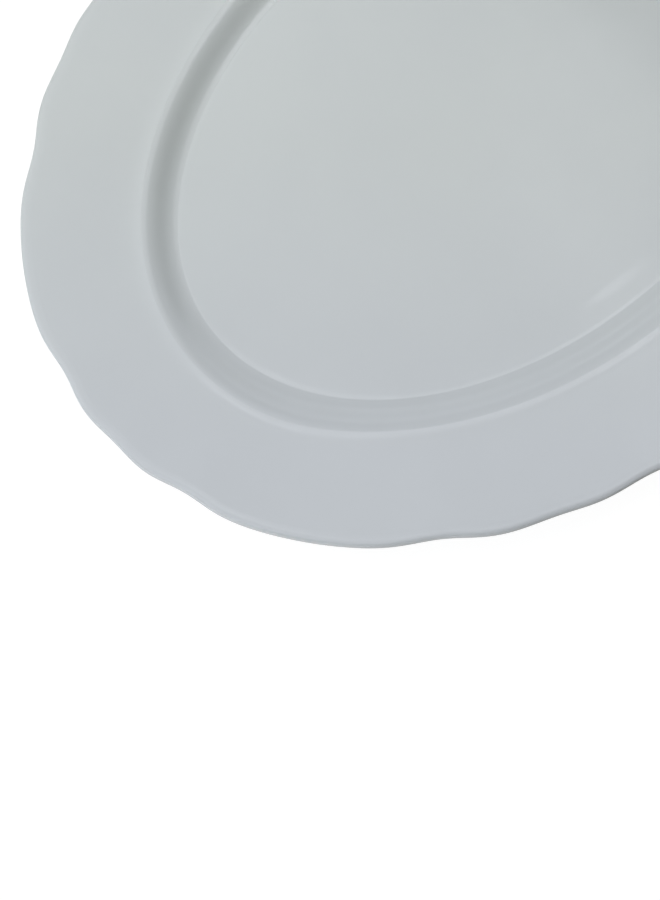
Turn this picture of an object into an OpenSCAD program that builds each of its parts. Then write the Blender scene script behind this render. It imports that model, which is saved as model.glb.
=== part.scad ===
// Oval china serving platter with a scalloped edge.
// The real platter is one fired and glazed piece of china. It is drawn as the
// zones that a potter names: a flat well, the cove that rises round it, the
// broad flange, the rolled lip of the scalloped edge, and the foot ring that the
// platter stands on. Each zone meets the next face to face, as slip joins clay.
// +X runs along the platter, +Y across it, and z = 0 is the table.

/* [Overall] */
// Length over the edge, tip to tip
overall_length = 356; // [330:1:400]
// Width over the edge at the middle of the long sides
overall_width = 284; // [260:1:320]

/* [Well and cove] */
// Length of the flat well floor
well_length = 256; // [220:1:270]
// Width of the flat well floor
well_width = 174; // [150:1:190]
// Width of the sloping cove round the well
cove_width = 13.2; // [10:0.1:16]
// Height that the cove rises above the well floor
well_depth = 6.4; // [5:0.1:10]

/* [Flange and lip] */
// Height that the flange rises from the cove to the lip
flange_rise = 5.2; // [3:0.1:9]
// Thickness of the china under the well and the cove
body_thickness = 4.6; // [3.8:0.1:5.5]
// Thickness of the flange beside the lip
edge_thickness = 3.6; // [3:0.1:3.8]
// Width of the rolled lip
lip_width = 3.6; // [3:0.1:5]

/* [Foot ring] */
// Height of the foot ring under the base
foot_height = 3; // [2.2:0.1:4]
// Width of the foot ring where it meets the base
foot_width = 6; // [4:0.1:8]
// Distance from the edge of the well in to the foot ring
foot_inset = 3; // [1:0.1:8]
// Width of the eased edges under the foot ring
foot_ease = 0.9; // [0.4:0.1:1.5]

/* [Scalloped edge] */
// Depth of the notches beside each long lobe
notch_deep = 2.2; // [0.5:0.1:3.5]
// Depth of the notches between two short lobes
notch_shallow = 1.5; // [0.5:0.1:3]
// Spread of a notch to each side of its middle, in degrees
notch_spread = 4.8; // [3.5:0.1:6]

/* [Hidden] */

CHINA = [0.93, 0.94, 0.94];
BARE_CLAY = [0.86, 0.83, 0.78];

// Notches of one quarter, in degrees from the tip: two short lobes, then a long
// lobe, two short lobes again, and half of the long lobe at the middle of the side
SHALLOW_NOTCHES = [0, 57.5];
DEEP_NOTCHES = [11.7, 44.2, 68];

// Outlines round the platter, and steps across each zone
STATIONS = 160;
COVE_STEPS = 10;
FLANGE_STEPS = 6;
LIP_STEPS = 8;

// Share of its mean slope that the cove keeps at its top and at its bottom
COVE_END_SLOPE = 0.5;

floor_top = foot_height + body_thickness;
verge_top = floor_top + well_depth;
lip_top = verge_top + flange_rise;

// Semi-axes of the ellipses that the zones are stretched between
WELL = [well_length / 2, well_width / 2];
VERGE = WELL + [cove_width, cove_width];
EDGE = [overall_length / 2 + notch_shallow, overall_width / 2];
FOOT_OUTER = WELL - [foot_inset, foot_inset];
FOOT_INNER = FOOT_OUTER - [foot_width, foot_width];

function angle_at(station) = 360 * station / STATIONS;

function ellipse_point(semi, t) = [semi[0] * cos(t), semi[1] * sin(t)];

function unit(v) = v / norm(v);

function mix(a, b, share) = a + (b - a) * share;

// Angle folded into the first quarter, because the quarters mirror each other
function quarter_angle(t) =
    let (half = t % 180)
    min(half, 180 - half);

// Depth at angle t of the notches that stand at these places
function notches(t, places, depth) =
    let (q = quarter_angle(t))
    depth * max([for (place = places) exp(-((q - place) / notch_spread) ^ 2)]);

// Point on the scalloped edge: the edge ellipse, drawn in at the notches
function edge_point(t) =
    let (
        p = ellipse_point(EDGE, t),
        drawn_in = notches(t, SHALLOW_NOTCHES, notch_shallow) + notches(t, DEEP_NOTCHES, notch_deep)
    )
    p - unit(p) * drawn_in;

// Direction in plan from the verge out to the edge
function outward(t) = unit(edge_point(t) - ellipse_point(VERGE, t));

// Point on the flange in plan: 0 at the verge, 1 where the lip begins
function flange_point(t, along) =
    mix(ellipse_point(VERGE, t), edge_point(t) - outward(t) * lip_width, along);

// Height of the cove's upper face: an S curve, a little steep at both ends
function cove_top(along) =
    floor_top + well_depth * mix(along * along * (3 - 2 * along), along, COVE_END_SLOPE);

// Height of the flange's upper face, which climbs evenly from the verge
function flange_top(along) = mix(verge_top, lip_top, along);

function flange_thickness(along) = mix(body_thickness, edge_thickness, along);

function at_height(p, z) = [p[0], p[1], z];

// Closed solid through one outline of points at each station round the platter
module ring_of(outlines) {
    count = len(outlines);
    size = len(outlines[0]);
    faces = [
        for (i = [0 : count - 1], j = [0 : size - 1])
            let (
                next_i = (i + 1) % count,
                next_j = (j + 1) % size,
                a = i * size + j,
                b = i * size + next_j,
                c = next_i * size + next_j,
                d = next_i * size + j
            )
            each [[a, b, c], [a, c, d]]
    ];
    polyhedron(points = [for (outline = outlines) each outline], faces = faces, convexity = 6);
}

// Flat floor of the well, from the top of the foot ring up
module well_floor() {
    color(CHINA)
        translate([0, 0, foot_height])
            linear_extrude(height = body_thickness)
                polygon([for (i = [0 : STATIONS - 1]) ellipse_point(WELL, angle_at(i))]);
}

// Sloping wall between the well floor and the flange
module cove_wall() {
    color(CHINA) ring_of([
        for (i = [0 : STATIONS - 1])
            let (inner = ellipse_point(WELL, angle_at(i)), outer = ellipse_point(VERGE, angle_at(i)))
            [
                for (j = [0 : COVE_STEPS])
                    let (f = j / COVE_STEPS)
                    at_height(mix(inner, outer, f), cove_top(f)),
                for (j = [COVE_STEPS : -1 : 0])
                    let (f = j / COVE_STEPS)
                    at_height(mix(inner, outer, f), cove_top(f) - body_thickness)
            ]
    ]);
}

// Broad flange between the cove and the lip, thinner towards the lip
module flange() {
    color(CHINA) ring_of([
        for (i = [0 : STATIONS - 1])
            let (t = angle_at(i))
            [
                for (j = [0 : FLANGE_STEPS])
                    let (f = j / FLANGE_STEPS)
                    at_height(flange_point(t, f), flange_top(f)),
                for (j = [FLANGE_STEPS : -1 : 0])
                    let (f = j / FLANGE_STEPS)
                    at_height(flange_point(t, f), flange_top(f) - flange_thickness(f))
            ]
    ]);
}

// Rounded lip that follows the scalloped edge
module lip_roll() {
    color(CHINA) ring_of([
        for (i = [0 : STATIONS - 1])
            let (t = angle_at(i))
            [
                for (j = [0 : LIP_STEPS])
                    let (turn = 90 - 180 * j / LIP_STEPS)
                    at_height(
                        flange_point(t, 1) + outward(t) * lip_width * cos(turn),
                        lip_top + edge_thickness / 2 * (sin(turn) - 1)
                    )
            ]
    ]);
}

// Ring that the platter stands on, with its lower edges eased
module foot_ring() {
    color(BARE_CLAY) ring_of([
        for (i = [0 : STATIONS - 1])
            let (
                outer = ellipse_point(FOOT_OUTER, angle_at(i)),
                inner = ellipse_point(FOOT_INNER, angle_at(i)),
                ease = unit(outer - inner) * foot_ease
            )
            [
                at_height(inner, foot_height),
                at_height(outer, foot_height),
                at_height(outer, foot_ease),
                at_height(outer - ease, 0),
                at_height(inner + ease, 0),
                at_height(inner, foot_ease)
            ]
    ]);
}

well_floor();
cove_wall();
flange();
lip_roll();
foot_ring();
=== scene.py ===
"""Looks of the oval china serving platter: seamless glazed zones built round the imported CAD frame."""

import math

import bmesh
import bpy
import numpy as np
from mathutils import Matrix, Vector


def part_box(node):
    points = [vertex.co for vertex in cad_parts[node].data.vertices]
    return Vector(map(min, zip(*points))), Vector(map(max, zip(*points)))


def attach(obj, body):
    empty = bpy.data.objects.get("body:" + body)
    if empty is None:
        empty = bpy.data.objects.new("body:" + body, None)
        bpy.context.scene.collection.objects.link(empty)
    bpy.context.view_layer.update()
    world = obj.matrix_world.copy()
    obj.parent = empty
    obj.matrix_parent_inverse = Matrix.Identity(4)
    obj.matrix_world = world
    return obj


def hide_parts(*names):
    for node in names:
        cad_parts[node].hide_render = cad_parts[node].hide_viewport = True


MM = 0.001

# Stations round the platter, and rows across each zone of its section
STATIONS = 480
FLOOR_ROWS = 60
COVE_ROWS = 44
FLANGE_ROWS = 40
LIP_ROWS = 36
UNDER_FLANGE_ROWS = 12
UNDER_COVE_ROWS = 16
FOOT_CORNER_ROWS = 8

# Samples of a slope that is summed into a height
FLOOR_SAMPLES = 400
CLIMB_SAMPLES = 1000

# Notches of one quarter, in degrees from the tip, with their depths and spread
SHALLOW_NOTCHES = (0.0, 57.5)
DEEP_NOTCHES = (11.7, 44.2, 68.0)
NOTCH_SHALLOW = 1.5 * MM
NOTCH_DEEP = 2.2 * MM
NOTCH_SPREAD = 4.8

# The lobes at the tip reach past the notch between them, and the lip rises a little past
# its start: these two keep it inside the length and the height of the CAD lip
LENGTH_CLEARANCE = 0.17 * MM
HEIGHT_CLEARANCE = 0.12 * MM

# Waver of the hand-finished verge: the middle and spread of each swell, in degrees,
# how far it moves the verge outward, and how flat its top is
VERGE_SWELLS = (
    (132.0, 40.0, -1.45 * MM, 4),
    (200.0, 11.0, 0.90 * MM, 2),
)

# Slopes of the cove's upper face, as rise over run, relative to each other, how sharply
# it steepens towards the middle, and the widths that its two bends are spread over
COVE_END_SLOPE = 0.29
COVE_MID_SLOPE = 0.77
COVE_STEEPENING = 3
CREASE_WIDTH = 0.7 * MM
SHOULDER_WIDTH = 0.8 * MM

# Faint gutter round the well floor and ridge round the verge: outward slope and reach
GUTTER_SLOPE = 0.10
GUTTER_REACH = 1.8 * MM
RIDGE_SLOPE = 0.20
RIDGE_REACH = 4.2 * MM

# Faint swell of the well floor beside one long side: its middle and spread, in degrees,
# how far inside the crease it peaks, its spread inward and outward, and its height
SWELL_MIDDLE = 260.5
SWELL_SPREAD = 11.0
SWELL_INSET = 11.0 * MM
SWELL_INWARD = 12.0 * MM
SWELL_OUTWARD = 3.4 * MM
SWELL_HEIGHT = 0.25 * MM

# Roundness of the lip: 2 is an ellipse, more is squarer
LIP_POWER = 5.0

# Share of its mean slope that the underside of the cove keeps at its ends
UNDER_COVE_END_SLOPE = 0.5

# Rows of the underside of the well floor, as shares of the way out from its centre
BASE_SHARES = (1.0, 0.9, 0.75, 0.5, 0.25, 0.06)

# Foot ring: radius of the flare at the base, and of the rounded edges of the sole. Points
# of the CAD ring this near its long axis give its width
FOOT_FLARE = 1.1 * MM
SOLE_ROUND = 1.3 * MM
NEAR_AXIS = 1.0 * MM

# Camera of the photograph
CAMERA_AZIMUTH = -36.5
CAMERA_ELEVATION = 73.0
CAMERA_ROLL = -8.7
CAMERA_DISTANCE = 430.5 * MM
CAMERA_AIM = (-129.2 * MM, -49.8 * MM)
CAMERA_LENS = 52.6
CAMERA_SENSOR = 36.0
CAMERA_CLIP = (0.01, 50.0)

# Light: the bluish tint and the brightness of the panels, and the room above and below
PANEL_TINT = (0.98, 1.0, 1.05)
KEY_BRIGHTNESS = 1.295
STRIP_BRIGHTNESS = 1.7
SIDE_BRIGHTNESS = 2.2
FAR_BRIGHTNESS = 0.62
RIGHT_BRIGHTNESS = 0.55
STREAK_BRIGHTNESS = 1.3
GLOSS_BRIGHTNESS = 0.9
ROOM_ABOVE = (0.06, 0.06, 0.05)
ROOM_BELOW = (0.11, 0.10, 0.08)
TABLE_GLOW = (0.85, 0.87, 0.88)

# Directions over which the room changes: along X from dim to lit, and up across the horizon
LIT_SIDE = (0.3, -0.6)
HORIZON = (-0.04, 0.12)

# Paper backdrop: a flat floor that bends up and closes over the studio as a dome. It lies
# a hair under the sole, so that the two faces never share one plane
PAPER_GLOW = 0.92
PAPER_GREY = 0.22
PAPER_DROP = 0.1 * MM
PAPER_FLOOR_REACHES = (0.0, 0.4, 1.0, 2.0)
PAPER_FLAT_REACH = 3.0
PAPER_BEND = 2.0
PAPER_DOME = 3.0
PAPER_ARC_STEPS = 12
PAPER_TURNS = 64
PAPER_MERGE = 1.0e-6

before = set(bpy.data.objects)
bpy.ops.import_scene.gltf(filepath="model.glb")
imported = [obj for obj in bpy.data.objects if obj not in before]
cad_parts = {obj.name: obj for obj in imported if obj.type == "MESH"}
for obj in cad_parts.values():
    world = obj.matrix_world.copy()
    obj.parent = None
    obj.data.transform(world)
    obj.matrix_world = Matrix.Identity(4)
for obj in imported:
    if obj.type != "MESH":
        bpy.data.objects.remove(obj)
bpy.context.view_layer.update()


def corners(node):
    """Lowest and highest corner of a CAD node, as two arrays."""
    low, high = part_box(node)
    return np.array(low), np.array(high)


# Dimensions read from the frame

_, foot_high = corners("foot_ring")
_, floor_high = corners("well_floor")
_, cove_high = corners("cove_wall")
_, flange_high = corners("flange")
lip_low, lip_high = corners("lip_roll")

WELL = floor_high[:2]
VERGE = cove_high[:2]
EDGE = np.array((lip_high[0] + NOTCH_SHALLOW - LENGTH_CLEARANCE, lip_high[1]))
FOOT_OUTER = foot_high[:2]
COVE_WIDTH = VERGE[0] - WELL[0]
LIP_WIDTH = lip_high[1] - flange_high[1]

BASE_Z = foot_high[2]
FLOOR_Z = floor_high[2]
VERGE_Z = cove_high[2]
LIP_Z = lip_high[2] - HEIGHT_CLEARANCE
BODY_THICKNESS = FLOOR_Z - BASE_Z
EDGE_THICKNESS = lip_high[2] - lip_low[2]
FLANGE_RUN = EDGE[1] - LIP_WIDTH - VERGE[1]
FLANGE_SLOPE = (LIP_Z - VERGE_Z) / FLANGE_RUN


# ---------------------------------------------------------------- plan curves

def ellipse(semi, t):
    return np.stack((semi[0] * np.cos(t), semi[1] * np.sin(t)), axis=-1)


def unit(v):
    return v / np.linalg.norm(v, axis=-1, keepdims=True)


def notches(t, places, depth):
    """Depth at angle t of the notches that stand at these places in each quarter."""
    half = np.degrees(t) % 180.0
    quarter = np.minimum(half, 180.0 - half)
    shapes = [np.exp(-(((quarter - place) / NOTCH_SPREAD) ** 2)) for place in places]
    return depth * np.max(shapes, axis=0)


def verge_waver(t):
    """How far the verge stands outside its oval at angle t."""
    outward = np.zeros_like(t)
    for middle, spread, reach, flatness in VERGE_SWELLS:
        turn = (np.degrees(t) - middle + 180.0) % 360.0 - 180.0
        outward += reach * np.exp(-(np.abs(turn / spread) ** flatness))
    return outward


ANGLES = np.linspace(0.0, 2.0 * math.pi, STATIONS, endpoint=False)
WELL_CURVE = ellipse(WELL, ANGLES)
VERGE_OVAL = ellipse(VERGE, ANGLES)
VERGE_CURVE = VERGE_OVAL + unit(VERGE_OVAL - WELL_CURVE) * verge_waver(ANGLES)[:, None]
EDGE_OVAL = ellipse(EDGE, ANGLES)
DRAWN_IN = notches(ANGLES, SHALLOW_NOTCHES, NOTCH_SHALLOW) + notches(ANGLES, DEEP_NOTCHES, NOTCH_DEEP)
EDGE_CURVE = EDGE_OVAL - unit(EDGE_OVAL) * DRAWN_IN[:, None]
OUTWARD = unit(EDGE_CURVE - VERGE_CURVE)
LIP_START = EDGE_CURVE - OUTWARD * LIP_WIDTH


def row(plan, z):
    """One closed row of points round the platter, at one height or a height for each point."""
    return np.column_stack((plan, np.full(len(plan), z)))


def between(a, b, share):
    return a + (b - a) * share


# -------------------------------------------------------------- upper profile

def smooth(x):
    """Rises from 0 to 1 as x does, level at both ends."""
    x = np.clip(x, 0.0, 1.0)
    return x * x * (3.0 - 2.0 * x)


def cove_slope(s):
    """Slope of the cove at distance s from the crease: steepest at mid width."""
    steepness = np.sin(math.pi * s / COVE_WIDTH) ** COVE_STEEPENING
    body = between(COVE_END_SLOPE, COVE_MID_SLOPE, steepness)
    at_crease = smooth(s / CREASE_WIDTH + 0.5)
    at_verge = smooth((COVE_WIDTH - s) / SHOULDER_WIDTH + 0.5)
    return at_crease * (at_verge * body + (1.0 - at_verge) * (FLANGE_SLOPE - RIDGE_SLOPE))


def floor_slope(s):
    """Slope of the well floor at distance s inside the crease: a faint gutter, then the fillet."""
    gutter = GUTTER_SLOPE * smooth(1.0 - s / GUTTER_REACH)
    fillet = (COVE_END_SLOPE + GUTTER_SLOPE) * smooth(0.5 - s / CREASE_WIDTH)
    return fillet - gutter


def running_sum(slope, s):
    """Height gained along s, by the trapezium rule."""
    steps = 0.5 * (slope[1:] + slope[:-1]) * np.diff(s)
    return np.concatenate(((0.0,), np.cumsum(steps)))


def floor_swell(inset):
    """Height of the floor's swell along the row that runs this far inside the crease."""
    spread = SWELL_INWARD if inset > SWELL_INSET else SWELL_OUTWARD
    across = (inset - SWELL_INSET) / spread
    along = (np.degrees(ANGLES) - SWELL_MIDDLE) / SWELL_SPREAD
    return SWELL_HEIGHT * math.exp(-(across ** 2)) * np.exp(-(along ** 2))


def floor_rows():
    """Well floor from its centre to the crease, with its rows much closer near the crease."""
    insets = WELL[1] * np.linspace(1.0, 0.0, FLOOR_ROWS)[1:] ** 3
    fine = np.linspace(0.0, 2.0 * GUTTER_REACH, FLOOR_SAMPLES)
    fall = running_sum(floor_slope(fine), fine)
    heights = FLOOR_Z - np.interp(insets, fine, fall)
    return [
        row(WELL_CURVE * (1.0 - inset / WELL[1]), z + floor_swell(inset))
        for inset, z in zip(insets, heights)
    ]


def cove_rows():
    """Cove from the crease to the verge, scaled to climb exactly to the verge."""
    shares = smooth(np.linspace(0.0, 1.0, COVE_ROWS))
    fine = np.linspace(0.0, COVE_WIDTH, CLIMB_SAMPLES)
    climb = running_sum(cove_slope(fine), fine)
    climb *= (VERGE_Z - FLOOR_Z) / climb[-1]
    heights = FLOOR_Z + np.interp(shares * COVE_WIDTH, fine, climb)
    return [row(between(WELL_CURVE, VERGE_CURVE, f), z) for f, z in zip(shares, heights)]


def flange_rows():
    """Flange from the verge to the start of the lip."""
    shares = smooth(np.linspace(0.0, 1.0, FLANGE_ROWS))
    fine = np.linspace(0.0, FLANGE_RUN, CLIMB_SAMPLES)
    sunk = running_sum(-RIDGE_SLOPE * np.exp(-((fine / RIDGE_REACH) ** 2)), fine)
    climb = (LIP_Z - VERGE_Z - sunk[-1]) * fine / FLANGE_RUN + sunk
    heights = VERGE_Z + np.interp(shares * FLANGE_RUN, fine, climb)
    return [row(between(VERGE_CURVE, LIP_START, f), z) for f, z in zip(shares, heights)]


def lip_rows():
    """Lip, rolled from the upper face round to the underside."""
    rows = []
    half = EDGE_THICKNESS / 2.0
    for turn in np.linspace(math.pi / 2.0, -math.pi / 2.0, LIP_ROWS):
        reach = math.cos(turn) ** (2.0 / LIP_POWER)
        level = math.copysign(abs(math.sin(turn)) ** (2.0 / LIP_POWER), turn)
        tilt = FLANGE_SLOPE * LIP_WIDTH * reach * (1.0 - reach)
        z = LIP_Z - half + half * level + tilt
        rows.append(row(LIP_START + OUTWARD * LIP_WIDTH * reach, z))
    return rows


# --------------------------------------------------------------- lower profile

def under_flange_rows():
    """Underside of the flange, from the lip in to the verge."""
    rows = []
    for f in np.linspace(1.0, 0.0, UNDER_FLANGE_ROWS):
        thickness = between(BODY_THICKNESS, EDGE_THICKNESS, f)
        rows.append(row(between(VERGE_CURVE, LIP_START, f), between(VERGE_Z, LIP_Z, f) - thickness))
    return rows


def under_cove_rows():
    """Underside of the cove, from the verge in to the base."""
    rows = []
    for f in np.linspace(1.0, 0.0, UNDER_COVE_ROWS):
        rise = between(smooth(f), f, UNDER_COVE_END_SLOPE)
        rows.append(row(between(WELL_CURVE, VERGE_CURVE, f), BASE_Z + (VERGE_Z - FLOOR_Z) * rise))
    return rows


def base_rows():
    """Underside of the well floor, from the crease to the centre."""
    return [row(WELL_CURVE * share, BASE_Z) for share in BASE_SHARES]


# ------------------------------------------------------------------- meshing

def grid_normals(rows):
    """Normals of a stack of rows, smooth along it and round it."""
    p = np.array(rows)
    along = np.gradient(p, axis=0)
    around = np.roll(p, -1, axis=1) - np.roll(p, 1, axis=1)
    return unit(np.cross(along, around))


def add_object(name, data):
    obj = bpy.data.objects.new(name, data)
    bpy.context.collection.objects.link(obj)
    return obj


def ring_faces(rows, seen):
    """Faces that join each row to the next, and whether each one is on the outside.

    seen[k] says so for the faces between rows k and k + 1; with as many entries as rows,
    the last one is for the faces that close the ring."""
    count = len(rows)
    faces, outside = [], []
    for k, is_seen in enumerate(seen):
        here, there = k * STATIONS, ((k + 1) % count) * STATIONS
        for i in range(STATIONS):
            j = (i + 1) % STATIONS
            faces.append((here + i, here + j, there + j, there + i))
            outside.append(is_seen)
    return faces, outside


def centre_faces(count):
    """Fans that close the first and the last row on the two centre points after the rows."""
    top = count * STATIONS
    base = top + 1
    last = (count - 1) * STATIONS
    faces = []
    for i in range(STATIONS):
        j = (i + 1) % STATIONS
        faces += [(top, j, i), (base, last + i, last + j)]
    return faces


def closed_mesh(name, points, faces):
    """Mesh of a closed solid, with its faces turned outward."""
    mesh = bpy.data.meshes.new(name)
    mesh.from_pydata(points.tolist(), [], faces)
    mesh.update()
    bm = bmesh.new()
    bm.from_mesh(mesh)
    if bm.calc_volume(signed=True) < 0.0:
        bmesh.ops.reverse_faces(bm, faces=bm.faces)
    bm.to_mesh(mesh)
    bm.free()
    mesh.update()
    mesh.polygons.foreach_set("use_smooth", [True] * len(mesh.polygons))
    return mesh


def set_normals(mesh, vertex_normals, outside):
    """Outside faces take the normals of the whole skin, mating faces their own."""
    loop_normals = []
    for polygon, is_outside in zip(mesh.polygons, outside):
        for vertex in polygon.vertices:
            normal = vertex_normals[vertex] if is_outside else polygon.normal
            loop_normals.append(tuple(normal))
    mesh.normals_split_custom_set(loop_normals)


def build_zone(name, rows, seen, normals, centre_fans=False):
    """Closed solid through rows that go once round its section.

    With centre_fans the first and last row end in a fan instead of joining each other."""
    points = np.concatenate(rows)
    vertex_normals = np.concatenate(normals)
    faces, outside = ring_faces(rows, seen)
    if centre_fans:
        centres = [(0.0, 0.0, rows[0][0][2]), (0.0, 0.0, rows[-1][0][2])]
        points = np.vstack((points, centres))
        vertex_normals = np.vstack((vertex_normals, [(0.0, 0.0, 1.0), (0.0, 0.0, -1.0)]))
        fans = centre_faces(len(rows))
        faces += fans
        outside += [True] * len(fans)
    mesh = closed_mesh(name, points, faces)
    set_normals(mesh, vertex_normals, outside)
    return add_object(name, mesh)


def outer_skin():
    """Every zone's outside rows in one stack, so that normals run smoothly across zones."""
    stacks = {
        "floor": floor_rows(),
        "cove": cove_rows()[1:],
        "flange": flange_rows()[1:],
        "lip": lip_rows()[1:],
        "under_flange": under_flange_rows()[1:],
        "under_cove": under_cove_rows()[1:],
        "base": base_rows()[1:],
    }
    rows, ends = [], {}
    for name, stack in stacks.items():
        rows += stack
        ends[name] = len(rows) - 1
    return rows, grid_normals(rows), ends


def build_platter():
    """The four glazed zones, each cut out of one skin, by the CAD node that it stands for."""
    rows, normals, end = outer_skin()

    def zone(name, spans, centre_fans=False):
        """Zone through spans of the skin, each from its first row to its last.

        The faces along a span are on the outside, and those from span to span mate."""
        order = []
        seen = []
        for first, last in spans:
            order += range(first, last + 1)
            seen += [True] * (last - first) + [False]
        if centre_fans:
            seen.pop()
        return build_zone(name, [rows[k] for k in order], seen, [normals[k] for k in order], centre_fans)

    floor_spans = [(0, end["floor"]), (end["under_cove"], end["base"])]
    cove_spans = [(end["floor"], end["cove"]), (end["under_flange"], end["under_cove"])]
    flange_spans = [(end["cove"], end["flange"]), (end["lip"], end["under_flange"])]
    lip_spans = [(end["flange"], end["lip"])]
    return {
        "well_floor": zone("well_floor_china", floor_spans, centre_fans=True),
        "cove_wall": zone("cove_wall_china", cove_spans),
        "flange": zone("flange_china", flange_spans),
        "lip_roll": zone("lip_roll_china", lip_spans),
    }


def foot_width():
    """Width of the foot ring, from the CAD ring's own vertices on its long axis."""
    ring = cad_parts["foot_ring"]
    points = [ring.matrix_world @ vertex.co for vertex in ring.data.vertices]
    return FOOT_OUTER[0] - min(p.x for p in points if p.x > 0.0 and abs(p.y) < NEAR_AXIS)


def build_foot():
    """Foot ring: flared where it meets the base, with a rounded sole."""
    quarter_turn = np.linspace(0.0, math.pi / 2.0, FOOT_CORNER_ROWS)
    outer = [
        (FOOT_FLARE * (1.0 - math.sin(a)), BASE_Z - FOOT_FLARE * (1.0 - math.cos(a)))
        for a in quarter_turn
    ]
    outer += [
        (-SOLE_ROUND * (1.0 - math.cos(a)), SOLE_ROUND * (1.0 - math.sin(a)))
        for a in quarter_turn
    ]
    width = foot_width()
    inner = [(-width - out, z) for out, z in reversed(outer)]
    rows = [row(ellipse(FOOT_OUTER + out, ANGLES), z) for out, z in outer + inner]
    seen = [True] * (len(rows) - 1) + [False]
    return build_zone("foot_ring_china", rows, seen, grid_normals(rows))


# ----------------------------------------------------------------- materials

# Glaze with a painted tint of light: cool near the seen tip, warmer past the middle, along one
# way in plan, as under a warm light from that side. The tint starts and ends at these distances
# from the centre, and clouds and specks lie over it
CHINA_IN_COOL_LIGHT = (0.785, 0.82, 0.845)
CHINA_IN_WARM_LIGHT = (0.80, 0.84, 0.815)
CHINA_SHADE = (0.68, 0.71, 0.73)
WARM_LIGHT_WAY = (0.72, 0.69, 0.0)
WARM_LIGHT_START = -130.0 * MM
WARM_LIGHT_END = -15.0 * MM
CLOUD_SCALE = 22.0
CLOUD_SHARE = 0.12
SPECK = (0.36, 0.34, 0.31)
SPECK_CELLS = 55.0
SPECK_CORE = 0.008
SPECK_EDGE = 0.016
SPECK_LOTTERY = (0.90, 0.92)
SPECK_STRENGTH = 0.6

# Values that a noise texture mostly gives, and the narrower core of them
NOISE_RANGE = (0.3, 0.7)
NOISE_CORE = (0.35, 0.65)

# Surface of the glaze: its roughness, its long waves and its fine peel
GLAZE_IOR = 1.5
RUB_SCALE = 90.0
GLAZE_ROUGHNESS = (0.11, 0.17)
WAVE_SCALE = 35.0
WAVE_HEIGHT = 0.10 * MM
WAVE_STRENGTH = 0.25
PEEL_SCALE = 420.0
PEEL_HEIGHT = 0.01 * MM
PEEL_STRENGTH = 0.15

# Bare clay of the sole, below a glaze line that wavers
BARE_CLAY = (0.70, 0.67, 0.61)
BARE_CLAY_WORN = (0.60, 0.56, 0.50)
BARE_ROUGHNESS = 0.8
GRAIN_SCALE = 900.0
GLAZE_LINE = (0.5 * MM, 0.7 * MM)
GLAZE_LINE_WAVER = 0.25 * MM
GLAZE_LINE_SCALE = 140.0


def new_material(name):
    material = bpy.data.materials.new(name)
    material.use_nodes = True
    nodes, links = material.node_tree.nodes, material.node_tree.links
    nodes.clear()
    output = nodes.new("ShaderNodeOutputMaterial")
    shader = nodes.new("ShaderNodeBsdfPrincipled")
    links.new(shader.outputs["BSDF"], output.inputs["Surface"])
    return material, nodes, links, shader


def noise(nodes, links, coordinates, scale, detail=2.0):
    texture = nodes.new("ShaderNodeTexNoise")
    texture.inputs["Scale"].default_value = scale
    texture.inputs["Detail"].default_value = detail
    links.new(coordinates, texture.inputs["Vector"])
    return texture.outputs["Fac"]


def remap(nodes, links, value, low, high, to_low, to_high):
    node = nodes.new("ShaderNodeMapRange")
    node.inputs["From Min"].default_value = low
    node.inputs["From Max"].default_value = high
    node.inputs["To Min"].default_value = to_low
    node.inputs["To Max"].default_value = to_high
    links.new(value, node.inputs["Value"])
    return node.outputs["Result"]


def calculate(nodes, links, operation, a, b):
    node = nodes.new("ShaderNodeMath")
    node.operation = operation
    links.new(a, node.inputs[0])
    links.new(b, node.inputs[1])
    return node.outputs["Value"]


def mix_colour(nodes, links, share, a, b):
    """Mix of two colours, each a tuple or the output of a node."""
    node = nodes.new("ShaderNodeMix")
    node.data_type = "RGBA"
    links.new(share, node.inputs["Factor"])
    for socket, value in ((node.inputs[6], a), (node.inputs[7], b)):
        if isinstance(value, tuple):
            socket.default_value = (*value, 1.0)
        else:
            links.new(value, socket)
    return node.outputs[2]


def bump(nodes, links, height, strength, distance):
    node = nodes.new("ShaderNodeBump")
    node.inputs["Strength"].default_value = strength
    node.inputs["Distance"].default_value = distance
    links.new(height, node.inputs["Height"])
    return node


def glaze_colour_and_painted_tint(nodes, links, place):
    """Glaze colour with a painted tint of warm light along one way, faint clouds and rare specks."""
    # Painted tint of light: the glaze turns warmer along one way in plan, as if a warm light fell from
    # that side
    along = nodes.new("ShaderNodeVectorMath")
    along.operation = "DOT_PRODUCT"
    along.inputs[1].default_value = WARM_LIGHT_WAY
    links.new(place, along.inputs[0])
    warm_light_share = remap(nodes, links, along.outputs["Value"], WARM_LIGHT_START, WARM_LIGHT_END, 0.0, 1.0)
    china_in_painted_light = mix_colour(nodes, links, warm_light_share, CHINA_IN_COOL_LIGHT, CHINA_IN_WARM_LIGHT)
    clouds = noise(nodes, links, place, CLOUD_SCALE, detail=3.0)
    cloud = remap(nodes, links, clouds, *NOISE_CORE, 0.0, CLOUD_SHARE)
    colour = mix_colour(nodes, links, cloud, china_in_painted_light, CHINA_SHADE)

    cells = nodes.new("ShaderNodeTexVoronoi")
    cells.inputs["Scale"].default_value = SPECK_CELLS
    links.new(place, cells.inputs["Vector"])
    dot = remap(nodes, links, cells.outputs["Distance"], SPECK_CORE, SPECK_EDGE, 1.0, 0.0)
    lottery = nodes.new("ShaderNodeSeparateColor")
    links.new(cells.outputs["Color"], lottery.inputs["Color"])
    chosen = remap(nodes, links, lottery.outputs["Red"], *SPECK_LOTTERY, 0.0, SPECK_STRENGTH)
    speck = calculate(nodes, links, "MULTIPLY", dot, chosen)
    return mix_colour(nodes, links, speck, colour, SPECK)


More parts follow.
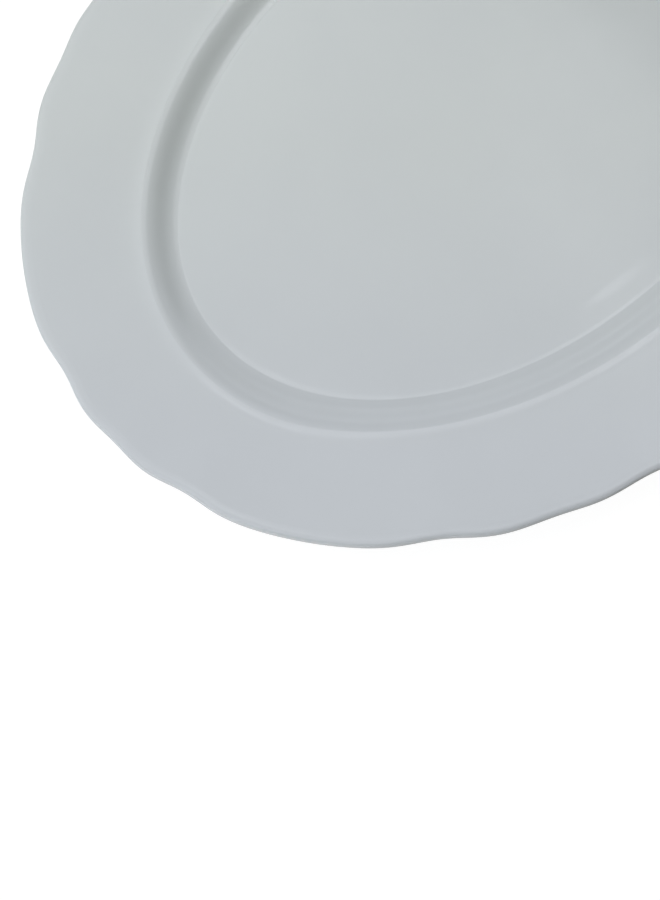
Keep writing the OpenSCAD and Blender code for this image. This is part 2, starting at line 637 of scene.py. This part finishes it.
def glaze_nodes(nodes, links):
    """Place, colour with its painted tint of light, roughness and normal of the glaze, in metres from
    the platter's centre.
    """
    place = nodes.new("ShaderNodeTexCoord").outputs["Object"]
    colour = glaze_colour_and_painted_tint(nodes, links, place)
    rub = noise(nodes, links, place, RUB_SCALE, detail=4.0)
    roughness = remap(nodes, links, rub, *NOISE_RANGE, *GLAZE_ROUGHNESS)
    wave = noise(nodes, links, place, WAVE_SCALE, detail=1.0)
    peel = noise(nodes, links, place, PEEL_SCALE)
    long_bump = bump(nodes, links, wave, WAVE_STRENGTH, WAVE_HEIGHT)
    fine_bump = bump(nodes, links, peel, PEEL_STRENGTH, PEEL_HEIGHT)
    links.new(long_bump.outputs["Normal"], fine_bump.inputs["Normal"])
    return place, colour, roughness, fine_bump.outputs["Normal"]


def china_material():
    material, nodes, links, shader = new_material("glazed_china")
    place, colour, roughness, normal = glaze_nodes(nodes, links)
    links.new(colour, shader.inputs["Base Color"])
    links.new(roughness, shader.inputs["Roughness"])
    links.new(normal, shader.inputs["Normal"])
    shader.inputs["IOR"].default_value = GLAZE_IOR
    return material


def foot_material():
    """Glaze that ends in a wavering line just above the bare, ground sole."""
    material, nodes, links, shader = new_material("glazed_foot_with_bare_sole")
    place, colour, roughness, normal = glaze_nodes(nodes, links)
    axes = nodes.new("ShaderNodeSeparateXYZ")
    links.new(place, axes.inputs["Vector"])
    uneven = noise(nodes, links, place, GLAZE_LINE_SCALE)
    waver = remap(nodes, links, uneven, *NOISE_RANGE, -GLAZE_LINE_WAVER, GLAZE_LINE_WAVER)
    height = calculate(nodes, links, "ADD", axes.outputs["Z"], waver)
    bare = remap(nodes, links, height, *GLAZE_LINE, 1.0, 0.0)
    grit = noise(nodes, links, place, GRAIN_SCALE, detail=4.0)
    grain = remap(nodes, links, grit, *NOISE_CORE, 0.0, 1.0)
    clay = mix_colour(nodes, links, grain, BARE_CLAY, BARE_CLAY_WORN)
    links.new(mix_colour(nodes, links, bare, colour, clay), shader.inputs["Base Color"])
    rough = nodes.new("ShaderNodeMix")
    links.new(bare, rough.inputs["Factor"])
    links.new(roughness, rough.inputs["A"])
    rough.inputs["B"].default_value = BARE_ROUGHNESS
    links.new(rough.outputs["Result"], shader.inputs["Roughness"])
    links.new(normal, shader.inputs["Normal"])
    shader.inputs["IOR"].default_value = GLAZE_IOR
    return material


# --------------------------------------------------------------------- stage

def backdrop_material():
    """White paper that glows a little, seen only from its inner side."""
    material, nodes, links, shader = new_material("white_paper")
    shader.inputs["Base Color"].default_value = (PAPER_GREY, PAPER_GREY, PAPER_GREY, 1.0)
    shader.inputs["Roughness"].default_value = 1.0
    shader.inputs["Specular IOR Level"].default_value = 0.0
    shader.inputs["Emission Color"].default_value = (1.0, 1.0, 1.0, 1.0)
    shader.inputs["Emission Strength"].default_value = PAPER_GLOW
    side = nodes.new("ShaderNodeNewGeometry")
    clear = nodes.new("ShaderNodeBsdfTransparent")
    either = nodes.new("ShaderNodeMixShader")
    links.new(side.outputs["Backfacing"], either.inputs["Fac"])
    links.new(shader.outputs["BSDF"], either.inputs[1])
    links.new(clear.outputs["BSDF"], either.inputs[2])
    output = next(node for node in nodes if node.type == "OUTPUT_MATERIAL")
    links.new(either.outputs["Shader"], output.inputs["Surface"])
    return material


def backdrop_profile():
    """Section of the paper from the middle of its floor to the top of its dome."""
    wall_reach = PAPER_FLAT_REACH + PAPER_BEND
    quarter_turn = np.linspace(0.0, math.pi / 2.0, PAPER_ARC_STEPS + 1)
    profile = [(reach, 0.0) for reach in PAPER_FLOOR_REACHES]
    for turn in quarter_turn:
        reach = PAPER_FLAT_REACH + PAPER_BEND * math.sin(turn)
        profile.append((reach, PAPER_BEND * (1.0 - math.cos(turn))))
    for turn in quarter_turn[1:]:
        profile.append((wall_reach * math.cos(turn), PAPER_BEND + PAPER_DOME * math.sin(turn)))
    return profile


def build_backdrop():
    """Floor of white paper that curves up into a wall and closes over the studio."""
    mesh = bpy.data.meshes.new("backdrop")
    bm = bmesh.new()
    verts = [bm.verts.new((reach, 0.0, height)) for reach, height in backdrop_profile()]
    edges = [bm.edges.new(pair) for pair in zip(verts, verts[1:])]
    bmesh.ops.spin(
        bm, geom=verts + edges, cent=(0.0, 0.0, 0.0), axis=(0.0, 0.0, 1.0),
        angle=2.0 * math.pi, steps=PAPER_TURNS, use_merge=True,
    )
    bmesh.ops.remove_doubles(bm, verts=bm.verts, dist=PAPER_MERGE)
    bmesh.ops.recalc_face_normals(bm, faces=bm.faces)
    if max(bm.faces, key=lambda face: face.calc_center_median().z).normal.z > 0.0:
        bmesh.ops.reverse_faces(bm, faces=bm.faces)
    bm.to_mesh(mesh)
    bm.free()
    mesh.polygons.foreach_set("use_smooth", [True] * len(mesh.polygons))
    backdrop = add_object("backdrop", mesh)
    backdrop.location.z = -PAPER_DROP
    mesh.materials.append(backdrop_material())
    for ray in ("visible_diffuse", "visible_glossy", "visible_transmission", "visible_shadow"):
        setattr(backdrop, ray, False)


def direction(compass, height_angle):
    """Unit vector towards this compass angle from +X and height above the table, in degrees."""
    compass, height_angle = math.radians(compass), math.radians(height_angle)
    level = math.cos(height_angle)
    return Vector((level * math.cos(compass), level * math.sin(compass), math.sin(height_angle)))


def build_camera():
    """Camera on the photograph's side: azimuth 0 looks along +Y, from in front."""
    azimuth = math.radians(CAMERA_AZIMUTH)
    back = direction(CAMERA_AZIMUTH - 90.0, CAMERA_ELEVATION)
    right = Vector((math.cos(azimuth), math.sin(azimuth), 0.0))
    upright = Matrix((right, back.cross(right), back)).transposed()
    camera_data = bpy.data.cameras.new("camera")
    camera_data.lens = CAMERA_LENS
    camera_data.sensor_width = CAMERA_SENSOR
    camera_data.clip_start, camera_data.clip_end = CAMERA_CLIP
    camera = add_object("camera", camera_data)
    camera.matrix_world = (
        Matrix.Translation(Vector((*CAMERA_AIM, FLOOR_Z)) + back * CAMERA_DISTANCE)
        @ (upright @ Matrix.Rotation(math.radians(CAMERA_ROLL), 3, "Z")).to_4x4()
    )
    bpy.context.scene.camera = camera


def add_panel(name, compass, height_angle, distance, size, brightness, turn=0.0, diffuse=True):
    """Soft oval panel that faces the platter, turned in its own plane.

    brightness is its radiance, size its width and height. Without diffuse it shows only
    as a reflection."""
    data = bpy.data.lights.new(name, "AREA")
    data.shape = "ELLIPSE"
    data.size, data.size_y = size
    data.energy = brightness * math.pi ** 2 / 4.0 * size[0] * size[1]
    data.color = PANEL_TINT
    way = direction(compass, height_angle)
    compass = math.radians(compass)
    across = Vector((math.sin(compass), -math.cos(compass), 0.0))
    facing = Matrix((across, way.cross(across), way)).transposed()
    panel = add_object(name, data)
    panel.location = way * distance
    panel.rotation_euler = (facing @ Matrix.Rotation(math.radians(turn), 3, "Z")).to_euler()
    panel.visible_camera = False
    panel.visible_diffuse = diffuse


def build_world():
    """Dim room, with light that comes back up from under the platter."""
    world = bpy.data.worlds.new("studio")
    bpy.context.scene.world = world
    world.use_nodes = True
    nodes, links = world.node_tree.nodes, world.node_tree.links
    background = nodes["Background"]
    coordinates = nodes.new("ShaderNodeTexCoord")
    axes = nodes.new("ShaderNodeSeparateXYZ")
    links.new(coordinates.outputs["Generated"], axes.inputs["Vector"])
    lit_side = remap(nodes, links, axes.outputs["X"], *LIT_SIDE, 0.0, 1.0)
    table = mix_colour(nodes, links, lit_side, ROOM_BELOW, TABLE_GLOW)
    above = remap(nodes, links, axes.outputs["Z"], *HORIZON, 0.0, 1.0)
    links.new(mix_colour(nodes, links, above, table, ROOM_ABOVE), background.inputs["Color"])
    background.inputs["Strength"].default_value = 1.0


def build_lights():
    add_panel(
        "key_panel", compass=120.0, height_angle=71.5, distance=0.65,
        size=(1.21, 0.91), brightness=KEY_BRIGHTNESS, turn=-36.0,
    )
    add_panel(
        "first_strip_panel", compass=77.0, height_angle=76.7, distance=1.4,
        size=(0.40, 0.15), brightness=STRIP_BRIGHTNESS, turn=-54.0,
    )
    add_panel(
        "second_strip_panel", compass=1.0, height_angle=74.0, distance=1.4,
        size=(0.62, 0.15), brightness=STRIP_BRIGHTNESS, turn=66.0,
    )
    add_panel(
        "streak_panel", compass=-0.6, height_angle=67.5, distance=1.4,
        size=(0.26, 0.12), brightness=STREAK_BRIGHTNESS, turn=76.0, diffuse=False,
    )
    add_panel(
        "right_panel", compass=17.0, height_angle=59.5, distance=1.4,
        size=(0.46, 0.46), brightness=RIGHT_BRIGHTNESS,
    )
    add_panel(
        "side_panel", compass=182.0, height_angle=10.0, distance=1.5,
        size=(1.2, 0.60), brightness=SIDE_BRIGHTNESS,
    )
    add_panel(
        "gloss_panel", compass=95.0, height_angle=17.0, distance=1.5,
        size=(2.0, 0.7), brightness=GLOSS_BRIGHTNESS, diffuse=False,
    )
    add_panel(
        "far_panel", compass=34.5, height_angle=14.0, distance=1.2,
        size=(1.12, 0.55), brightness=FAR_BRIGHTNESS,
    )


# ------------------------------------------------------------------ assembly

zones = build_platter()
foot = build_foot()
china = china_material()
for node, piece in zones.items():
    piece.data.materials.append(china)
    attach(piece, "root")
    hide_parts(node)
foot.data.materials.append(foot_material())
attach(foot, "root")
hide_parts("foot_ring")

build_backdrop()
build_camera()
build_lights()
build_world()
bpy.context.scene.view_settings.view_transform = "Standard"
